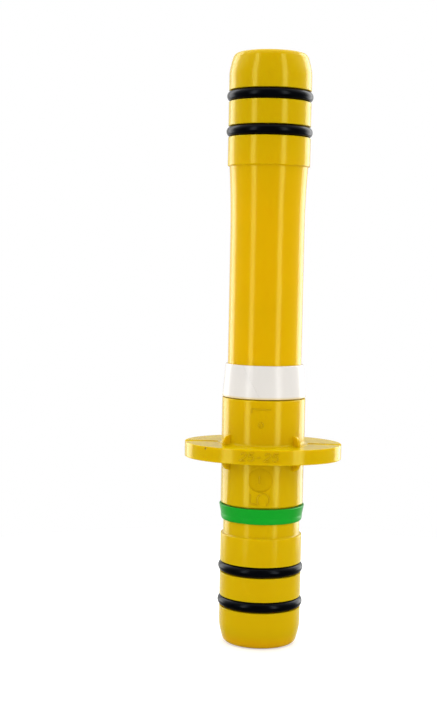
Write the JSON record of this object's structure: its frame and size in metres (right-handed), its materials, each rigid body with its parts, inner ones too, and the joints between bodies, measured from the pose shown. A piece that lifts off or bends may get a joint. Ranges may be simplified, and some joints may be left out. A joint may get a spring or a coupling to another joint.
{
  "type": "o-ring insert pipe coupling",
  "caption": "Straight insert coupling for polyethylene pipe: two long spigots with O-ring seals, an oval winged flange with ribs, and split lock rings on the necks.",
  "frame": {"origin": "centre of the short end's face, on the axis of the bore", "axes": "+Z along the bore from the short end to the long end, wings of the flange along X, marked face of the barrel towards -Y"},
  "size_m": [0.05, 0.0384, 0.187],
  "materials": {
    "body_yellow": "smooth moulded gloss",
    "ring_white": "smooth moulded semi-gloss",
    "ring_green": "smooth moulded semi-gloss",
    "seal_black": "smooth greased rubber"
  },
  "bodies": {
    "root": {"coupling_body": "body_yellow", "lock_ring_white": "ring_white", "lock_ring_green": "ring_green", "o_ring_short_outer": "seal_black", "o_ring_short_inner": "seal_black", "o_ring_long_inner": "seal_black", "o_ring_long_outer": "seal_black"}
  },
  "joints": []
}
